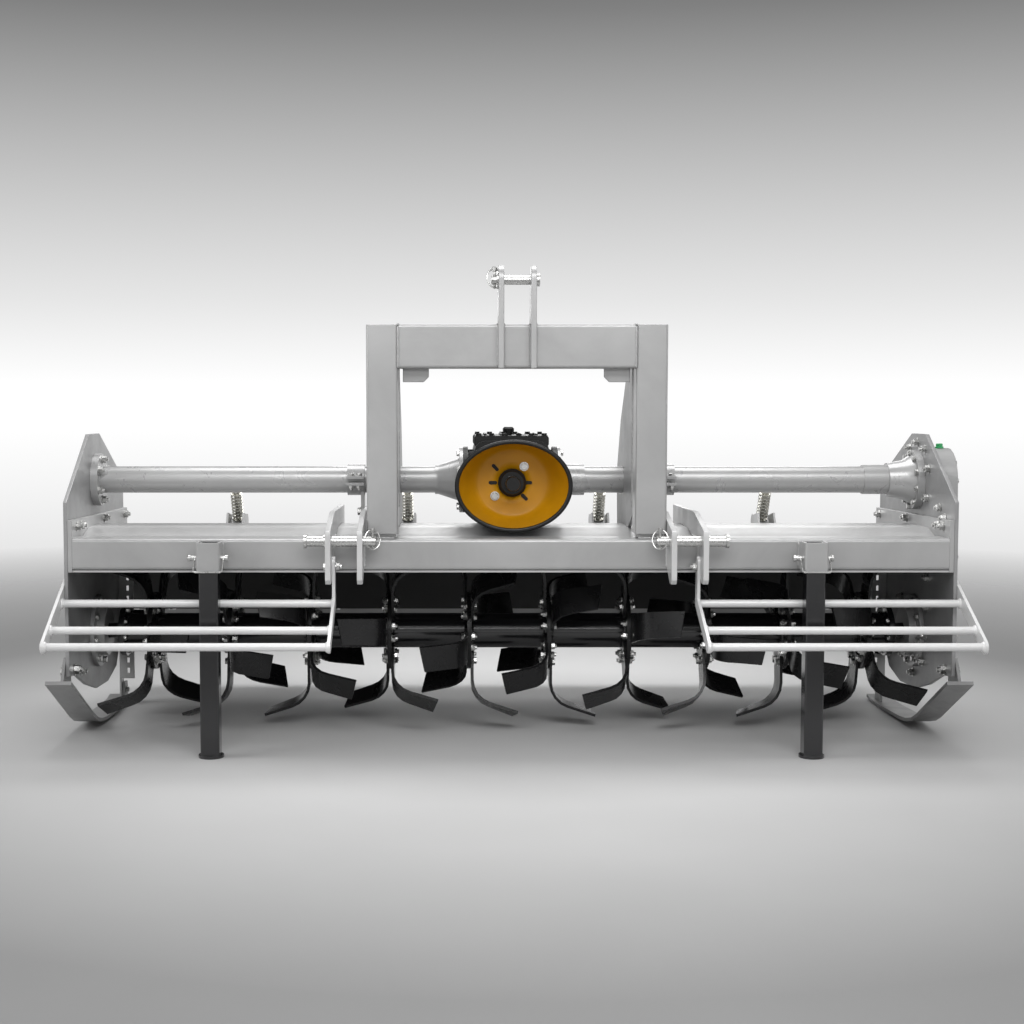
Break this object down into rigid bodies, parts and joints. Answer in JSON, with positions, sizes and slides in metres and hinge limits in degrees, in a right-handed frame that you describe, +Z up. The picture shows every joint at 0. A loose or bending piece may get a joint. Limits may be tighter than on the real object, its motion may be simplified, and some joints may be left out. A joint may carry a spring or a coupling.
{
  "type": "tractor rotavator",
  "caption": "Three-point rotavator with a bladed rotor under a hood, central gearbox, side drive, headstock, front guards, skids, stands and a sprung tailboard.",
  "frame": {"origin": "middle of the machine's overall box, on the floor it stands on", "axes": "+X to the drive case side along the rotor, +Y away from the tractor, +Z up"},
  "size_m": [2.5138, 1.2238, 1.3],
  "materials": {
    "frame_paint": "satin light grey paint",
    "side_paint": "satin grey paint",
    "bar_paint": "silver-grey satin paint",
    "black_paint": "gloss black paint",
    "blade_paint": "charcoal black paint on spring steel",
    "cast_black": "rough black painted casting",
    "zinc": "bright zinc plate",
    "shield_orange": "yellow-orange inside, black rim and outside",
    "shaft_steel": "bare steel with a black cap"
  },
  "bodies": {
    "frame": {"cross_tube_left": "frame_paint", "drive_tube_right": "frame_paint", "end_plate_left": "frame_paint", "end_plate_right": "frame_paint", "gearbox": "cast_black", "guard_left": "bar_paint", "guard_right": "bar_paint", "headstock_crossbeam": "frame_paint", "headstock_post_left": "frame_paint", "headstock_post_right": "frame_paint", "headstock_stay_left": "side_paint", "headstock_stay_right": "side_paint", "hood": "frame_paint", "lower_link_pin_left": "zinc", "lower_link_pin_right": "zinc", "lower_link_plate_inner_left": "frame_paint", "lower_link_plate_inner_right": "frame_paint", "lower_link_plate_outer_left": "frame_paint", "lower_link_plate_outer_right": "frame_paint", "main_beam": "frame_paint", "pto_shield": "shield_orange", "rotor_bearing_left": "frame_paint", "rotor_bearing_right": "frame_paint", "side_drive_case": "frame_paint", "side_plate_left": "side_paint", "side_plate_right": "side_paint", "skid_left": "frame_paint", "skid_right": "frame_paint", "skid_strut_left": "frame_paint", "skid_strut_right": "frame_paint", "stand_pin_left": "zinc", "stand_pin_right": "zinc", "stand_socket_left": "frame_paint", "stand_socket_right": "frame_paint", "top_link_lug_left": "frame_paint", "top_link_lug_right": "frame_paint", "top_link_pin": "zinc", "tube_clamp_left": "frame_paint", "tube_clamp_right": "frame_paint"},
    "rotor": {"rotor_tube": "black_paint", "blade_set_1": "blade_paint", "blade_set_2": "blade_paint", "blade_set_3": "blade_paint", "blade_set_4": "blade_paint", "blade_set_5": "blade_paint", "blade_set_6": "blade_paint", "blade_set_7": "blade_paint", "blade_set_8": "blade_paint", "blade_set_9": "blade_paint", "blade_set_10": "blade_paint"},
    "power_shaft": {"pto_shaft": "shaft_steel"},
    "stand_left": {"stand_leg_left": "black_paint"},
    "stand_right": {"stand_leg_right": "black_paint"},
    "tailboard": {"tailboard": "frame_paint"},
    "spring_rods": {"spring_rod_1": "zinc", "spring_rod_2": "zinc", "spring_rod_3": "zinc", "spring_rod_4": "zinc"}
  },
  "joints": [
    {"name": "rotor_spin", "type": "hinge", "parent": "frame", "child": "rotor", "pos_m": [-0.0124, -0.02893, 0.278], "axis": [1, 0, 0], "continuous": true},
    {"name": "pto_spin", "type": "hinge", "parent": "frame", "child": "power_shaft", "pos_m": [-0.0084, -0.18893, 0.716], "axis": [0, 1, 0], "continuous": true},
    {"name": "stand_left_slide", "type": "slide", "parent": "frame", "child": "stand_left", "axis": [0, 0, 1], "range_m": [0, 0.28]},
    {"name": "stand_right_slide", "type": "slide", "parent": "frame", "child": "stand_right", "axis": [0, 0, 1], "range_m": [0, 0.28]},
    {"name": "tailboard_lift", "type": "hinge", "parent": "frame", "child": "tailboard", "pos_m": [-0.0184, 0.42307, 0.293], "axis": [1, 0, 0], "range_deg": [0, 40]},
    {"name": "spring_rod_swing", "type": "hinge", "parent": "tailboard", "child": "spring_rods", "pos_m": [-0.0184, 0.51542, 0.26353], "axis": [1, 0, 0], "range_deg": [-34, 0]}
  ],
  "couplings": [
    {"joint": "pto_spin", "follows": "rotor_spin", "ratio": 2.45},
    {"joint": "spring_rod_swing", "follows": "tailboard_lift", "ratio": -0.833}
  ]
}
